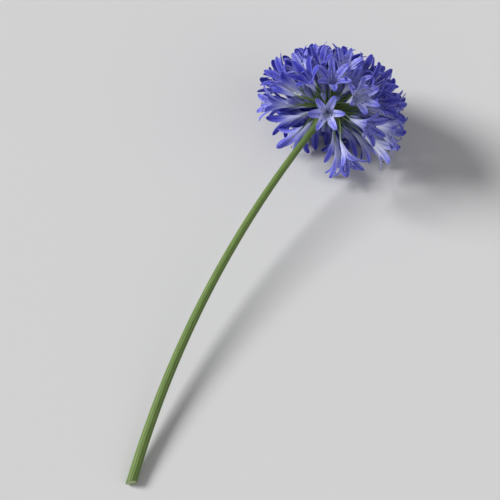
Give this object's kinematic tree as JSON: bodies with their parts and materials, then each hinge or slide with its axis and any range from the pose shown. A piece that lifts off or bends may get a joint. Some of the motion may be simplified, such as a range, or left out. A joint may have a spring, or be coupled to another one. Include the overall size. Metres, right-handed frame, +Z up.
{
  "type": "agapanthus flower head",
  "caption": "Picked agapanthus flower lying on its side: a curved leafless green stalk with a round umbel of blue-violet funnel florets.",
  "frame": {"origin": "on the surface the flower lies on, under the middle of its bounding box", "axes": "+Z up from the surface, +Y along the flower from the cut end of the stalk to the head, +X to the right seen from above with the head away"},
  "size_m": [0.1315, 0.408, 0.1171],
  "materials": {
    "scape": "smooth waxy green plant stalk, satin",
    "umbel": "thin soft blue-violet petals, matte with a slight sheen"
  },
  "bodies": {
    "root": {"scape": "scape", "umbel": "umbel"}
  },
  "joints": []
}
